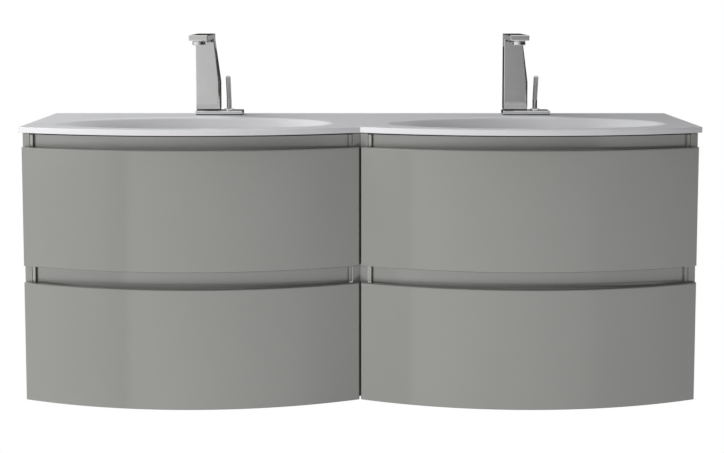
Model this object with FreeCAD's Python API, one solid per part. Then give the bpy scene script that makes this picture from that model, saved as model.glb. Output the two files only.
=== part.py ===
import FreeCAD, Part
import math
import os

# Wall-hung double vanity, millimetres. X runs along the wall, the wall is the plane Y = 0 and the
# room is towards -Y. Z = 0 is where the basin sits on the carcasses.

# Carcasses
unit_width = 690.0
board = 16.0
bottom_reveal = 2.0
carcass_clearance = 1.0
rail_height = 90.0
rail_drop = 20.0
wall_bolt_radius = 4.5
wall_bolt_spacing = 500.0

# Bowed drawer fronts
top_gap = 29.0
middle_gap = 35.0
front_height = 244.0
front_thickness = 16.0
front_reveal = 1.5
front_corner_depth = 381.0
front_bow = 82.0
front_edge_round = 2.0

# Curved grip channels behind the gaps
grip_depth = 24.0
channel_gauge = 2.0
channel_cove = 20.0
channel_lap = 16.0
channel_lip_clearance = 3.0
end_cap_width = 7.0
end_cap_stand = 6.0
end_cap_back = 8.0

# Drawer boxes
drawer_board = 12.0
box_lift = 22.0
box_back_depth = 30.0
upper_side_height = 140.0
lower_side_height = 190.0
board_fit = 0.1
guard_wall = 4.0
guard_inner_width = 120.0
guard_clearance = 28.0

# Telescopic runners
runner_space = 13.0
runner_height = 45.0
runner_gauge = 1.2
runner_clearance = 0.4
runner_front_clearance = 30.0
runner_back_depth = 40.0
runner_lift = 60.0
runner_flange = 9.5

# Double basin
basin_overhang = 6.0
basin_edge = 12.0
basin_edge_round = 2.5
basin_corner_setback = 7.0
basin_bow_loss = 6.0
bowl_half_width = 282.0
bowl_web_clearance = 9.0
bowl_nose = 124.0
bowl_back_depth = 107.0
bowl_depth = 100.0
bowl_wall = 9.0
bowl_steps = ((0.0, 1.0), (0.03, 0.98), (0.1, 0.93), (0.3, 0.84), (0.6, 0.71), (0.86, 0.53), (1.0, 0.34))

# Wastes and bottle traps
drain_depth = 238.0
flange_radius = 32.0
flange_thickness = 3.0
tail_radius = 21.0
tail_wall = 3.0
tail_length = 62.0
nut_wall = 8.0
nut_height = 9.0
pipe_clearance = 0.4
plug_radius = 30.0
plug_thickness = 6.0
plug_crown = 2.0
plug_stem_radius = 4.0
plug_stem_length = 34.0
spider_drop = 16.0
spider_height = 6.0
spider_bar = 6.0
hub_wall = 3.0
trap_radius = 30.0
trap_socket = 24.0
trap_body_height = 82.0
trap_cup_height = 56.0
trap_cup_round = 16.0
trap_outlet_radius = 16.0
trap_outlet_wall = 2.0
trap_outlet_drop = 26.0
trap_boss_wall = 5.0
trap_boss_reach = 46.0
slip_nut_height = 14.0
slip_nut_wall = 6.0
outlet_bead_stand = 2.0
outlet_bead_width = 3.0
wall_clearance = 2.0

# Taps, measured from the middle of their unit
tap_axis_depth = 38.0
plate_left = 25.0
plate_right = 81.0
plate_width = 50.0
plate_thickness = 10.0
plate_corner = 4.0
plate_edge_round = 2.0
column_left = 23.0
column_foot_right = 30.5
column_top_right = 17.5
column_width = 40.0
column_left_corner = 3.0
column_right_corner = 5.0
column_shoulder = 74.0
spout_top = 182.0
spout_thickness = 12.0
spout_reach = 195.0
spout_round = 2.0
spout_throat = 11.0
aerator_radius = 14.0
aerator_height = 10.0
aerator_inset = 20.0
shank_radius = 16.0
shank_length = 52.0
shank_clearance = 1.5
inlet_radius = 5.0
inlet_length = 30.0
inlet_spacing = 19.0
lever_offset = 49.0
lever_radius = 5.3
lever_stub = 26.0
lever_reach = 48.0
lever_lean = 22.0
lever_bend_radius = 16.0
lever_tip_round = 1.5
ball_radius = 6.0
ball_height = 0.5
ball_clearance = 0.35
collar_radius = 11.0
collar_height = 3.5
collar_mouth = 7.6
lever_pocket_radius = 8.0

Vec = FreeCAD.Vector
UP = Vec(0, 0, 1)
SIDES = (("left", -1), ("right", 1))

# Heights and radii that follow from the driving dimensions
unit_offset = unit_width / 2
inner_half = unit_offset - board
upper_front_top = -top_gap
upper_front_foot = upper_front_top - front_height
lower_front_top = upper_front_foot - middle_gap
lower_front_foot = lower_front_top - front_height
carcass_foot = lower_front_foot + bottom_reveal
front_half = unit_offset - front_reveal
bow_radius = (front_half ** 2 + front_bow ** 2) / (2 * front_bow)
bow_axis_y = bow_radius - front_corner_depth - front_bow
front_inner_radius = bow_radius - front_thickness
carcass_radius = front_inner_radius - carcass_clearance
web_radius = front_inner_radius - grip_depth
lip_radius = front_inner_radius - channel_lip_clearance
box_radius = front_inner_radius - board_fit
runner_reach = math.sqrt(front_inner_radius ** 2 - inner_half ** 2) - bow_axis_y
runner_length = runner_reach - runner_front_clearance - runner_back_depth
box_half = inner_half - runner_space
box_inner_half = box_half - drawer_board
basin_half = unit_width + basin_overhang
basin_corner_depth = front_corner_depth - basin_corner_setback
basin_bow = front_bow - basin_bow_loss
bowl_front_depth = web_radius - bow_axis_y - bowl_web_clearance
bowl_widest_depth = bowl_front_depth - bowl_nose
bowl_offset = basin_half / 2
floor_z = basin_edge - bowl_depth
tail_foot = floor_z - tail_length
trap_top = tail_foot + trap_socket
trap_waist = trap_top - trap_body_height
outlet_z = tail_foot - trap_outlet_drop
plate_top = basin_edge + plate_thickness
guard_front = -(drain_depth + trap_radius + guard_clearance)


def box(x0, x1, y0, y1, z0, z1):
    return Part.makeBox(x1 - x0, y1 - y0, z1 - z0, Vec(x0, y0, z0))


def rod(x, y, z0, z1, radius):
    return Part.makeCylinder(radius, z1 - z0, Vec(x, y, z0), UP)


def rod_to_wall(x, y0, y1, z, radius):
    return Part.makeCylinder(radius, y1 - y0, Vec(x, y0, z), Vec(0, 1, 0))


def prism(points, height):
    wire = Part.makePolygon(points + points[:1])
    return Part.Face(wire).extrude(height)


def turned(x, y, profile):
    """Solid of revolution about the vertical through (x, y), from (radius, z) corners."""
    points = [Vec(x + radius, y, z) for radius, z in profile]
    face = Part.Face(Part.makePolygon(points + points[:1]))
    return face.revolve(Vec(x, y, 0), UP, 360)


def hex_nut(x, y, z0, z1, bore, wall):
    across = bore + wall
    corner = across / math.cos(math.pi / 6)
    turns = [math.radians(60 * step) for step in range(6)]
    points = [Vec(x + corner * math.cos(turn), y + corner * math.sin(turn), z0) for turn in turns]
    return prism(points, Vec(0, 0, z1 - z0)).cut(rod(x, y, z0, z1, bore))


def bow_point(unit_x, radius, x, z):
    return Vec(x, bow_axis_y - math.sqrt(radius ** 2 - (x - unit_x) ** 2), z)


def bow_arc(unit_x, radius, x0, x1, z):
    middle = bow_point(unit_x, radius, (x0 + x1) / 2, z)
    return Part.Arc(bow_point(unit_x, radius, x0, z), middle, bow_point(unit_x, radius, x1, z)).toShape()


def bowed_board(unit_x, radius, x0, x1, y_back, z0, z1):
    """Board with a straight back edge and a front edge on the bow."""
    left_back = Vec(x0, y_back, z0)
    right_back = Vec(x1, y_back, z0)
    arc = bow_arc(unit_x, radius, x0, x1, z0)
    sides = [Part.makeLine(bow_point(unit_x, radius, x1, z0), right_back),
             Part.makeLine(right_back, left_back),
             Part.makeLine(left_back, bow_point(unit_x, radius, x0, z0))]
    return Part.Face(Part.Wire([arc] + sides)).extrude(Vec(0, 0, z1 - z0))


def bowed_skin(unit_x, inner, outer, x0, x1, z0, z1):
    """Curved panel between two radii, its ends cut square to the wall."""
    edges = [bow_arc(unit_x, outer, x0, x1, z0),
             Part.makeLine(bow_point(unit_x, outer, x1, z0), bow_point(unit_x, inner, x1, z0)),
             bow_arc(unit_x, inner, x0, x1, z0),
             Part.makeLine(bow_point(unit_x, inner, x0, z0), bow_point(unit_x, outer, x0, z0))]
    return Part.Face(Part.Wire(Part.__sortEdges__(edges))).extrude(Vec(0, 0, z1 - z0))


def drawer_front(unit_x, foot):
    x0 = unit_x - front_half
    x1 = unit_x + front_half
    skin = bowed_skin(unit_x, front_inner_radius, bow_radius, x0, x1, foot, foot + front_height)
    outer_face = max(skin.Faces, key=lambda face: face.Area)
    return skin.makeFillet(front_edge_round, outer_face.Edges)


def swept_section(unit_x, edges, x0, x1):
    """A section drawn at the middle of the unit, turned along the bow and cut off at x0 and x1."""
    face = Part.Face(Part.Wire(Part.__sortEdges__(edges)))
    axis = Vec(unit_x, bow_axis_y, 0)
    turn = math.degrees(math.asin(unit_offset / web_radius))
    face.rotate(axis, UP, -turn)
    swept = face.revolve(axis, UP, 2 * turn)
    bounds = swept.BoundBox
    return swept.common(box(x0, x1, bounds.YMin, bounds.YMax, bounds.ZMin, bounds.ZMax))


def section_point(unit_x, radius, z):
    return Vec(unit_x, bow_axis_y - radius, z)


def cove(unit_x, z_lip, side, radius_gain):
    """Quarter arc from the channel's web to a lip; side is +1 where the lip is below the web."""
    radius = channel_cove + radius_gain
    centre_r = web_radius + channel_cove
    centre_z = z_lip + side * channel_cove
    slant = math.sqrt(0.5)
    start = section_point(unit_x, centre_r - radius, centre_z)
    middle = section_point(unit_x, centre_r - radius * slant, centre_z - side * radius * slant)
    end = section_point(unit_x, centre_r, centre_z - side * radius)
    return Part.Arc(start, middle, end).toShape(), start, end


def upper_channel(unit_x):
    z_lip = upper_front_top - channel_lap
    face_arc, face_top, face_end = cove(unit_x, z_lip, 1, 0)
    back_arc, back_top, back_end = cove(unit_x, z_lip, 1, channel_gauge)
    lip_top = section_point(unit_x, lip_radius, z_lip)
    lip_foot = section_point(unit_x, lip_radius, z_lip - channel_gauge)
    head_face = section_point(unit_x, web_radius, 0)
    head_back = section_point(unit_x, web_radius - channel_gauge, 0)
    corners = [(face_end, lip_top), (lip_top, lip_foot), (lip_foot, back_end),
               (back_top, head_back), (head_back, head_face), (head_face, face_top)]
    lines = [Part.makeLine(start, end) for start, end in corners]
    reach = inner_half - end_cap_width
    return swept_section(unit_x, [face_arc, back_arc] + lines, unit_x - reach, unit_x + reach)


def middle_channel(unit_x):
    z_foot = lower_front_top - channel_lap
    z_head = upper_front_foot + channel_lap
    foot_arc, foot_web, foot_end = cove(unit_x, z_foot, 1, 0)
    foot_back, foot_back_web, foot_back_end = cove(unit_x, z_foot, 1, channel_gauge)
    head_arc, head_web, head_end = cove(unit_x, z_head, -1, 0)
    head_back, head_back_web, head_back_end = cove(unit_x, z_head, -1, channel_gauge)
    foot_lip = section_point(unit_x, lip_radius, z_foot)
    foot_lip_back = section_point(unit_x, lip_radius, z_foot - channel_gauge)
    head_lip = section_point(unit_x, lip_radius, z_head)
    head_lip_back = section_point(unit_x, lip_radius, z_head + channel_gauge)
    corners = [(foot_end, foot_lip), (foot_lip, foot_lip_back), (foot_lip_back, foot_back_end),
               (foot_back_web, head_back_web), (head_back_end, head_lip_back),
               (head_lip_back, head_lip), (head_lip, head_end), (head_web, foot_web)]
    lines = [Part.makeLine(start, end) for start, end in corners]
    reach = inner_half - end_cap_width
    arcs = [foot_arc, foot_back, head_arc, head_back]
    return swept_section(unit_x, arcs + lines, unit_x - reach, unit_x + reach)


def end_caps(unit_x):
    """Four blocks that close the channels' ends against the side panels."""
    spans = ((upper_front_top - channel_lap, 0),
             (lower_front_top - channel_lap, upper_front_foot + channel_lap))
    inner = web_radius - end_cap_back
    outer = web_radius + end_cap_stand
    caps = []
    for z0, z1 in spans:
        for edge in (unit_x - inner_half, unit_x + inner_half - end_cap_width):
            caps.append(bowed_skin(unit_x, inner, outer, edge, edge + end_cap_width, z0, z1))
    return caps


def side_panel(unit_x, side):
    edges = (unit_x + side * inner_half, unit_x + side * unit_offset)
    return bowed_board(unit_x, carcass_radius, min(edges), max(edges), 0, carcass_foot, 0)


def bottom_panel(unit_x):
    x0 = unit_x - inner_half
    x1 = unit_x + inner_half
    return bowed_board(unit_x, carcass_radius, x0, x1, 0, carcass_foot, carcass_foot + board)


def wall_rail(unit_x, foot):
    """Board screwed to the wall between the side panels."""
    rail = box(unit_x - inner_half, unit_x + inner_half, -board, 0, foot, foot + rail_height)
    for side in (-1, 1):
        bolt_x = unit_x + side * wall_bolt_spacing / 2
        rail = rail.cut(rod_to_wall(bolt_x, -board, 0, foot + rail_height / 2, wall_bolt_radius))
    return rail


def runner_member(wall_x, inward, web, rim, height, y0, z):
    """Channel section along Y. web and rim are distances from the panel's face, inward its direction."""
    half = height / 2
    step = runner_gauge if rim > web else -runner_gauge
    outline = ((web, -half), (rim, -half), (rim, runner_gauge - half), (web + step, runner_gauge - half),
               (web + step, half - runner_gauge), (rim, half - runner_gauge), (rim, half), (web, half))
    points = [Vec(wall_x + inward * across, y0, z + up) for across, up in outline]
    return prism(points, Vec(0, runner_length, 0))


def runner_pair(unit_x, box_foot, layer):
    """The cabinet, middle or drawer members on both sides of one drawer."""
    nest = 2 * (runner_gauge + runner_clearance)
    layout = {"cabinet": (0, runner_flange, runner_height),
              "middle": (runner_space - runner_flange - runner_gauge, runner_space - runner_gauge - runner_clearance,
                         runner_height - nest),
              "drawer": (runner_space, runner_space - runner_flange + runner_gauge, runner_height - 2 * nest)}
    web, rim, height = layout[layer]
    y0 = -runner_back_depth - runner_length
    z = box_foot + runner_lift
    return [runner_member(unit_x + side * inner_half, -side, web, rim, height, y0, z) for side in (-1, 1)]


def drawer_sides(unit_x, foot, height):
    sides = []
    for side in (-1, 1):
        edges = (unit_x + side * box_inner_half, unit_x + side * box_half)
        sides.append(bowed_board(unit_x, box_radius, min(edges), max(edges), -box_back_depth, foot, foot + height))
    return sides


def drawer_bottom(unit_x, foot):
    x0 = unit_x - box_inner_half
    x1 = unit_x + box_inner_half
    return bowed_board(unit_x, box_radius, x0, x1, -box_back_depth, foot, foot + drawer_board)


def drawer_back(x0, x1, foot, height):
    y0 = -box_back_depth - drawer_board
    return box(x0, x1, y0, -box_back_depth, foot + drawer_board, foot + height)


def guard_outline(x, half, front, z0, z1):
    """Slot open to the wall with a half-round front."""
    y_turn = front + half
    left = x - half
    right = x + half
    arc = Part.Arc(Vec(left, y_turn, z0), Vec(x, front, z0), Vec(right, y_turn, z0)).toShape()
    lines = [Part.makeLine(Vec(right, y_turn, z0), Vec(right, -box_back_depth, z0)),
             Part.makeLine(Vec(right, -box_back_depth, z0), Vec(left, -box_back_depth, z0)),
             Part.makeLine(Vec(left, -box_back_depth, z0), Vec(left, y_turn, z0))]
    return Part.Face(Part.Wire([arc] + lines)).extrude(Vec(0, 0, z1 - z0))


def trap_guard(x, foot, height):
    """Moulded surround that keeps the drawer's contents off the trap, standing in the drawer's bottom."""
    half = guard_inner_width / 2
    outer = guard_outline(x, half + guard_wall, guard_front - guard_wall, foot, foot + height)
    return outer.cut(guard_outline(x, half, guard_front, foot, foot + height))


def bowl_section(x, step, scale, growth, drop):
    """Egg-shaped outline of the bowl at one depth, two half ellipses that share the widest line."""
    z = basin_edge - bowl_depth * step - drop
    widest = bowl_widest_depth + (drain_depth - bowl_widest_depth) * step
    across = bowl_half_width * scale + growth
    ahead = (bowl_front_depth - bowl_widest_depth) * scale + growth
    behind = (bowl_widest_depth - bowl_back_depth) * scale + growth
    centre = Vec(x, -widest, z)
    edges = []
    for depth, start in ((behind, 0), (ahead, math.pi)):
        ellipse = Part.Ellipse(centre, across, depth)
        edges.append(Part.Arc(ellipse, start, start + math.pi).toShape())
    return Part.Wire(edges)


def bowl_hollow(x):
    sections = [bowl_section(x, step, scale, 0, 0) for step, scale in bowl_steps]
    return Part.makeLoft(sections, True, False)


def bowl_shell(x):
    """Outside of the bowl, from inside the rim's slab down to below the floor."""
    sections = [bowl_section(x, step, scale, bowl_wall, bowl_wall * step) for step, scale in bowl_steps[2:]]
    return Part.makeLoft(sections, True, False)


def basin():
    """One casting: a slab with two bowed front edges, and a bowl under each."""
    reach = basin_corner_depth + basin_bow
    left = Vec(-basin_half, 0, 0)
    right = Vec(basin_half, 0, 0)
    notch = Vec(0, -basin_corner_depth, 0)
    corners = [Vec(side * basin_half, -basin_corner_depth, 0) for side in (-1, 1)]
    crowns = [Vec(side * bowl_offset, -reach, 0) for side in (-1, 1)]
    edges = [Part.makeLine(right, left), Part.makeLine(left, corners[0]),
             Part.Arc(corners[0], crowns[0], notch).toShape(),
             Part.Arc(notch, crowns[1], corners[1]).toShape(), Part.makeLine(corners[1], right)]
    slab = Part.Face(Part.Wire(edges)).extrude(Vec(0, 0, basin_edge))
    rim = [edge for edge in slab.Edges if edge.BoundBox.ZMin > basin_edge / 2 and edge.BoundBox.YMin < -basin_edge]
    casting = slab.makeFillet(basin_edge_round, rim)
    for _, side in SIDES:
        casting = casting.fuse(bowl_shell(side * bowl_offset))
    for _, side in SIDES:
        x = side * bowl_offset
        casting = casting.cut(bowl_hollow(x))
        seat = rod(x, -drain_depth, floor_z - flange_thickness, floor_z, flange_radius + pipe_clearance)
        drain = rod(x, -drain_depth, floor_z - 2 * bowl_wall, floor_z, tail_radius + pipe_clearance)
        tap_hole = rod(side * unit_offset, -tap_axis_depth, 0, basin_edge, shank_radius + shank_clearance)
        casting = casting.cut(seat).cut(drain).cut(tap_hole)
    return casting.removeSplitter()


def waste_body(x):
    """Flanged tail with a spider that guides the plug's stem."""
    bore = tail_radius - tail_wall
    top = floor_z
    under = floor_z - flange_thickness
    profile = ((bore, top), (flange_radius, top), (flange_radius, under), (tail_radius, under),
               (tail_radius, tail_foot), (bore, tail_foot))
    body = turned(x, -drain_depth, profile)
    spider_top = floor_z - spider_drop
    spider_foot = spider_top - spider_height
    half_bar = spider_bar / 2
    reach = bore + tail_wall / 2
    bar = box(x - reach, x + reach, -drain_depth - half_bar, -drain_depth + half_bar, spider_foot, spider_top)
    hole = plug_stem_radius + pipe_clearance
    hub = rod(x, -drain_depth, spider_foot, spider_top, hole + hub_wall)
    body = body.fuse(bar).fuse(hub)
    return body.cut(rod(x, -drain_depth, spider_foot, spider_top, hole)).removeSplitter()


def waste_plug(x):
    """Push plug: a low crowned cap on a stem."""
    cap_top = floor_z + plug_thickness
    profile = ((0, floor_z - plug_stem_length), (plug_stem_radius, floor_z - plug_stem_length),
               (plug_stem_radius, floor_z), (plug_radius, floor_z), (plug_radius, cap_top - plug_crown),
               (plug_radius - plug_crown, cap_top), (0, cap_top))
    return turned(x, -drain_depth, profile)


def waste_nut(x):
    top = floor_z - bowl_wall
    return hex_nut(x, -drain_depth, top - nut_height, top, tail_radius + pipe_clearance, nut_wall)


def bottle_trap(x):
    """Trap head: a socket round the waste's tail and a boss for the outlet pipe."""
    bore = tail_radius + pipe_clearance
    head = rod(x, -drain_depth, trap_waist, trap_top, trap_radius - trap_outlet_wall)
    outlet_bore = trap_outlet_radius + pipe_clearance
    boss_end = -drain_depth + trap_boss_reach
    boss = rod_to_wall(x, -drain_depth, boss_end, outlet_z, outlet_bore + trap_boss_wall)
    head = head.fuse(boss).cut(rod(x, -drain_depth, tail_foot, trap_top, bore))
    seat = boss_end - slip_nut_height
    return head.cut(rod_to_wall(x, seat, boss_end, outlet_z, outlet_bore)).removeSplitter()


def trap_cup(x):
    """Screw-off cup with a rounded foot."""
    foot = trap_waist - trap_cup_height
    cup = rod(x, -drain_depth, foot, trap_waist, trap_radius)
    rim = [edge for edge in cup.Edges if edge.BoundBox.ZMax < foot + trap_cup_height / 2]
    return cup.makeFillet(trap_cup_round, rim)


def trap_outlet(x):
    """Pipe to the wall, with a rolled bead where the slip nut ends."""
    boss_end = -drain_depth + trap_boss_reach
    start = boss_end - slip_nut_height
    bead = boss_end + slip_nut_height
    tube = rod_to_wall(x, start, -wall_clearance, outlet_z, trap_outlet_radius)
    ring = rod_to_wall(x, bead, bead + outlet_bead_width, outlet_z, trap_outlet_radius + outlet_bead_stand)
    bore = rod_to_wall(x, start, -wall_clearance, outlet_z, trap_outlet_radius - trap_outlet_wall)
    return tube.fuse(ring).cut(bore).removeSplitter()


def trap_nuts(x):
    """Slip nuts on the trap's inlet and outlet."""
    inlet = hex_nut(x, -drain_depth, trap_top, trap_top + slip_nut_height, tail_radius + pipe_clearance, nut_wall)
    bore = trap_outlet_radius + pipe_clearance
    outlet = hex_nut(x, 0, 0, slip_nut_height, bore, slip_nut_wall)
    outlet.rotate(Vec(x, 0, 0), Vec(1, 0, 0), -90)
    outlet.translate(Vec(0, -drain_depth + trap_boss_reach, outlet_z))
    return [inlet, outlet]


def rounded_rectangle(x0, x1, y0, y1, z, left_radius, right_radius):
    """Closed wire of four lines and four corner arcs at height z."""
    corners = ((x1, y0, 1, -1), (x1, y1, 1, 1), (x0, y1, -1, 1), (x0, y0, -1, -1))
    arcs = []
    for x, y, sx, sy in corners:
        radius = right_radius if sx > 0 else left_radius
        slant = radius * (1 - math.sqrt(0.5))
        along = Vec(x - sx * radius, y, z)
        across = Vec(x, y - sy * radius, z)
        ends = (along, across) if sx * sy < 0 else (across, along)
        arcs.append(Part.Arc(ends[0], Vec(x - sx * slant, y - sy * slant, z), ends[1]).toShape())
    edges = []
    for arc, following in zip(arcs, arcs[1:] + arcs[:1]):
        edges.append(arc)
        edges.append(Part.makeLine(arc.Vertexes[-1].Point, following.Vertexes[0].Point))
    return Part.Wire(edges)


def tap_base(x):
    """Base plate that carries the column and the lever, with a pocket for the lever's ball."""
    half = plate_width / 2
    outline = rounded_rectangle(x - plate_left, x + plate_right, -tap_axis_depth - half, -tap_axis_depth + half,
                                basin_edge, plate_corner, plate_corner)
    plate = Part.Face(outline).extrude(Vec(0, 0, plate_thickness))
    rim = [edge for edge in plate.Edges if edge.BoundBox.ZMin > basin_edge + plate_thickness / 2]
    plate = plate.makeFillet(plate_edge_round, rim)
    pocket_foot = plate_top - ball_radius + ball_height - ball_clearance
    pocket = rod(x + lever_offset, -tap_axis_depth, pocket_foot, plate_top, lever_pocket_radius)
    return plate.cut(pocket)


def tap_body(x):
    """Tapering column that turns into a flat spout, with a coved throat under the spout."""
    y0 = -tap_axis_depth - column_width / 2
    y1 = -tap_axis_depth + column_width / 2
    spout_foot = basin_edge + spout_top - spout_thickness
    left = x - column_left
    levels = ((plate_top, column_foot_right), (basin_edge + column_shoulder, column_foot_right),
              (spout_foot + spout_thickness / 2, column_top_right))
    wires = [rounded_rectangle(left, x + right, y0, y1, z, column_left_corner, column_right_corner)
             for z, right in levels]
    column = Part.makeLoft(wires, True, True)
    end = rounded_rectangle(left, x + column_top_right, spout_foot, spout_foot + spout_thickness, 0,
                            spout_round, spout_round)
    spout = Part.Face(end).extrude(Vec(0, 0, spout_reach + y1))
    spout.rotate(Vec(0, 0, 0), Vec(1, 0, 0), 90)
    spout.translate(Vec(0, y1, 0))
    throat = box(left + column_left_corner, x + column_top_right - column_right_corner,
                 y0 - spout_throat, y0, spout_foot - spout_throat, spout_foot)
    hollow = Part.makeCylinder(spout_throat, 2 * (column_left + column_foot_right),
                               Vec(left - column_left, y0 - spout_throat, spout_foot - spout_throat), Vec(1, 0, 0))
    return column.fuse(spout).fuse(throat.cut(hollow)).removeSplitter()


def aerator(x):
    middle = x + (column_top_right - column_left) / 2
    top = basin_edge + spout_top - spout_thickness
    wall = aerator_height / 3
    bore = aerator_radius - wall
    profile = ((0, top), (aerator_radius, top), (aerator_radius, top - aerator_height),
               (bore, top - aerator_height), (bore, top - wall), (0, top - wall))
    return turned(middle, -spout_reach + aerator_inset, profile)


def tap_shank(x):
    """Threaded stud under the base plate, with the hot and cold tail pipes in its end."""
    foot = basin_edge - shank_length
    shank = rod(x, -tap_axis_depth, foot, basin_edge, shank_radius)
    for side in (-1, 1):
        inlet_x = x + side * inlet_spacing / 2
        shank = shank.fuse(rod(inlet_x, -tap_axis_depth, foot - inlet_length, foot, inlet_radius))
    return shank.removeSplitter()


def tap_nut(x):
    return hex_nut(x, -tap_axis_depth, -nut_height, 0, shank_radius + pipe_clearance, nut_wall)


def lever_collar(x):
    """Domed swivel ring with a round socket for the lever's ball."""
    centre = Vec(x + lever_offset, -tap_axis_depth, plate_top + ball_height)
    top = plate_top + collar_height
    slope = collar_radius - collar_mouth
    profile = ((0, plate_top), (collar_radius, plate_top), (collar_radius, plate_top + collar_height / 3),
               (collar_radius - slope / 2, top - collar_height / 6), (collar_mouth, top), (0, top))
    dome = turned(centre.x, centre.y, profile)
    socket = Part.makeSphere(ball_radius + ball_clearance, centre)
    mouth = Part.makeCone(lever_radius, collar_mouth - ball_clearance, top - centre.z, centre, UP)
    return dome.cut(socket).cut(mouth)


def lever(x):
    """Bent stick on a ball: it stands upright, then leans towards the user."""
    centre = Vec(x + lever_offset, -tap_axis_depth, plate_top + ball_height)
    lean = math.radians(lever_lean)
    bend_foot = centre + Vec(0, 0, lever_stub - ball_height - lever_bend_radius * math.tan(lean / 2))
    pivot = bend_foot + Vec(0, -lever_bend_radius, 0)
    half = pivot + Vec(0, math.cos(lean / 2), math.sin(lean / 2)) * lever_bend_radius
    bend_top = pivot + Vec(0, math.cos(lean), math.sin(lean)) * lever_bend_radius
    tip = bend_top + Vec(0, -math.sin(lean), math.cos(lean)) * (lever_reach / math.cos(lean))
    path = Part.Wire([Part.makeLine(centre, bend_foot), Part.Arc(bend_foot, half, bend_top).toShape(),
                      Part.makeLine(bend_top, tip)])
    ring = Part.Wire([Part.makeCircle(lever_radius, centre, UP)])
    stick = path.makePipeShell([ring], True, False)
    end = max(stick.Edges, key=lambda edge: edge.BoundBox.Center.z)
    stick = stick.makeFillet(lever_tip_round, [end])
    return stick.fuse(Part.makeSphere(ball_radius, centre)).removeSplitter()


def carcass_nodes(name, side):
    unit_x = side * unit_offset
    return {name + "_outer_side": side_panel(unit_x, side),
            name + "_inner_side": side_panel(unit_x, -side),
            name + "_bottom": bottom_panel(unit_x),
            name + "_upper_channel": upper_channel(unit_x),
            name + "_middle_channel": middle_channel(unit_x)}


def drawer_nodes(name, unit_x, front_foot, height, trap_x=None):
    """One drawer and its runners. Where trap_x is given, the box is cut out round the trap."""
    foot = front_foot + box_lift
    bottom = drawer_bottom(unit_x, foot)
    x0 = unit_x - box_inner_half
    x1 = unit_x + box_inner_half
    nodes = {name + "_front": drawer_front(unit_x, front_foot)}
    if trap_x is None:
        nodes[name + "_back"] = drawer_back(x0, x1, foot, height)
    else:
        half = guard_inner_width / 2 + guard_wall
        backs = [drawer_back(x0, trap_x - half, foot, height), drawer_back(trap_x + half, x1, foot, height)]
        nodes[name + "_back"] = Part.makeCompound(backs)
        nodes[name + "_trap_guard"] = trap_guard(trap_x, foot, height)
        slot = guard_outline(trap_x, half, guard_front - guard_wall, foot, foot + drawer_board)
        bottom = bottom.cut(slot)
    nodes[name + "_bottom"] = bottom
    nodes[name + "_sides"] = Part.makeCompound(drawer_sides(unit_x, foot, height))
    for layer in ("middle", "drawer"):
        nodes[name + "_" + layer + "_runners"] = Part.makeCompound(runner_pair(unit_x, foot, layer))
    return nodes


def tap_nodes(name, x):
    return {name + "_tap_base": tap_base(x), name + "_tap_body": tap_body(x),
            name + "_lever_collar": lever_collar(x), name + "_lever": lever(x)}


def shared_nodes():
    """Pieces that are alike on both units, one node for each kind."""
    units = [side * unit_offset for _, side in SIDES]
    bowls = [side * bowl_offset for _, side in SIDES]
    feet = (upper_front_foot + box_lift, lower_front_foot + box_lift)
    runners = [member for x in units for foot in feet for member in runner_pair(x, foot, "cabinet")]
    groups = {"hanging_rails": [wall_rail(x, -rail_drop - rail_height) for x in units],
              "lower_rails": [wall_rail(x, carcass_foot + board) for x in units],
              "channel_end_caps": [cap for x in units for cap in end_caps(x)],
              "cabinet_runners": runners,
              "aerators": [aerator(x) for x in units],
              "tap_shanks": [tap_shank(x) for x in units],
              "tap_nuts": [tap_nut(x) for x in units],
              "waste_bodies": [waste_body(x) for x in bowls],
              "waste_nuts": [waste_nut(x) for x in bowls],
              "bottle_traps": [bottle_trap(x) for x in bowls],
              "trap_cups": [trap_cup(x) for x in bowls],
              "trap_outlets": [trap_outlet(x) for x in bowls],
              "trap_nuts": [nut for x in bowls for nut in trap_nuts(x)]}
    return {name: Part.makeCompound(solids) for name, solids in groups.items()}


def all_nodes():
    nodes = {"basin": basin()}
    nodes.update(shared_nodes())
    for name, side in SIDES:
        unit_x = side * unit_offset
        bowl_x = side * bowl_offset
        nodes.update(carcass_nodes(name, side))
        nodes.update(drawer_nodes(name + "_upper", unit_x, upper_front_foot, upper_side_height, bowl_x))
        nodes.update(drawer_nodes(name + "_lower", unit_x, lower_front_foot, lower_side_height))
        nodes.update(tap_nodes(name, unit_x))
        nodes[name + "_plug"] = waste_plug(bowl_x)
    return nodes


os.makedirs("parts", exist_ok=True)
for node, shape in all_nodes().items():
    shape.exportStep("parts/" + node + ".step")
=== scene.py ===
"""Looks of a wall-hung double vanity: lacquered bowed fronts, a cast double basin and chrome taps."""

import math

import bmesh
import bpy
from mathutils import Matrix, Vector


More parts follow.
